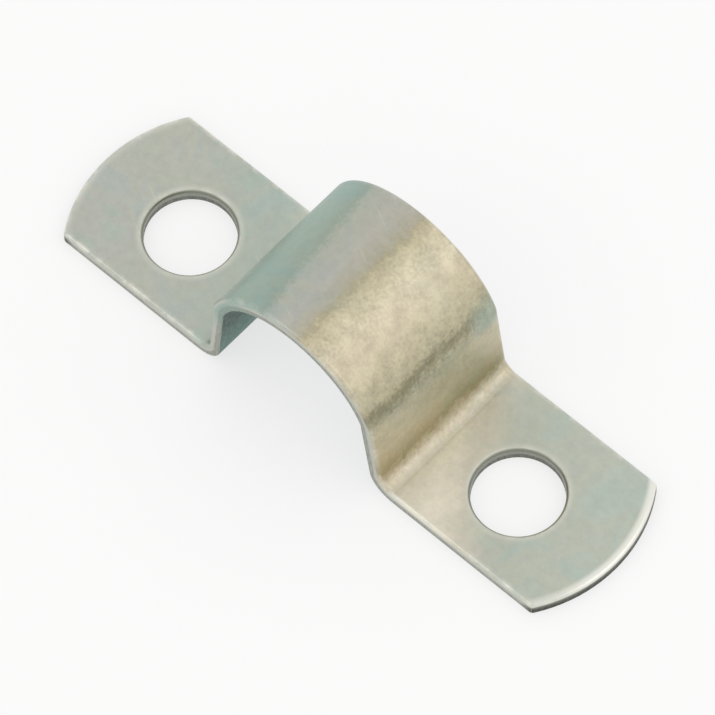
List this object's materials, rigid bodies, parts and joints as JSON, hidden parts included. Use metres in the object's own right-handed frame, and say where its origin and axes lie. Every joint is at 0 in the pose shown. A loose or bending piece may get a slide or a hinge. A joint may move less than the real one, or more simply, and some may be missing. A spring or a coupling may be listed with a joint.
{
  "type": "conduit strap",
  "caption": "Two-hole conduit strap folded from one zinc-plated steel strip, with a round arch between two flat ears with rounded tips.",
  "frame": {"origin": "on the mounting face, midway between the two ears, on the strip's middle line", "axes": "+X along the strip from ear to ear, +Y across the strip (the way the conduit runs), +Z away from the wall through the top of the arch"},
  "size_m": [0.0596, 0.016, 0.0165],
  "materials": {
    "zinc_plated_steel": "zinc-plated and passivated mild steel, satin, with a faint straw and grey-green tint and fine mottling"
  },
  "bodies": {
    "root": {"conduit_strap": "zinc_plated_steel"}
  },
  "joints": []
}
